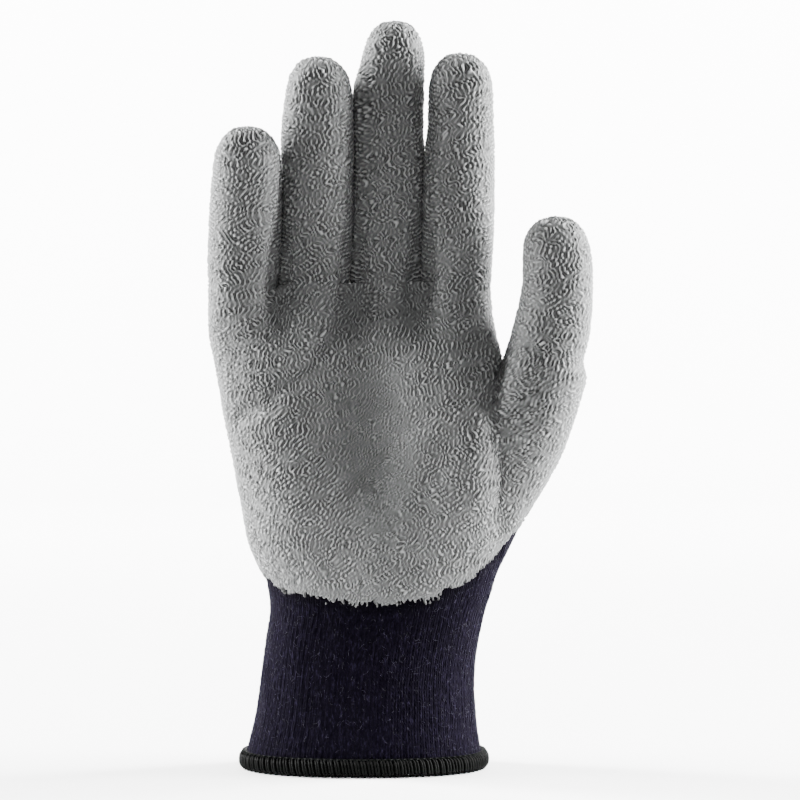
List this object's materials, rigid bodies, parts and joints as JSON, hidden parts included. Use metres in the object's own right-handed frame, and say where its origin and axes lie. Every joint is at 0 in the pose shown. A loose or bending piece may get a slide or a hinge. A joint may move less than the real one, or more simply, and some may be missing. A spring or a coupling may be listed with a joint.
{
  "type": "latex coated grip glove",
  "caption": "Right-hand knitted work glove with a crinkled latex palm coat, ribbed wrist and overlocked hem, in its worn form.",
  "frame": {"origin": "middle of the wrist's mouth, at the hem's lowest edge, where a wrist holds the glove up", "axes": "+Z from the wrist to the fingertips, -Y out of the palm, +X to the thumb"},
  "size_m": [0.1259, 0.0513, 0.2444],
  "materials": {
    "hand_knit": "fuzzy dark navy knit, matt",
    "wrist_knit": "fuzzy dark navy rib knit, matt",
    "latex": "grey dipped latex with a crinkled face, satin",
    "hem_thread": "black-green overlock thread, slightly glossy"
  },
  "bodies": {
    "root": {"knit_palm": "hand_knit", "knit_little_finger": "hand_knit", "knit_ring_finger": "hand_knit", "knit_middle_finger": "hand_knit", "knit_index_finger": "hand_knit", "knit_thumb": "hand_knit", "knit_wrist": "wrist_knit", "latex_coat": "latex", "cuff_hem": "hem_thread"}
  },
  "joints": []
}
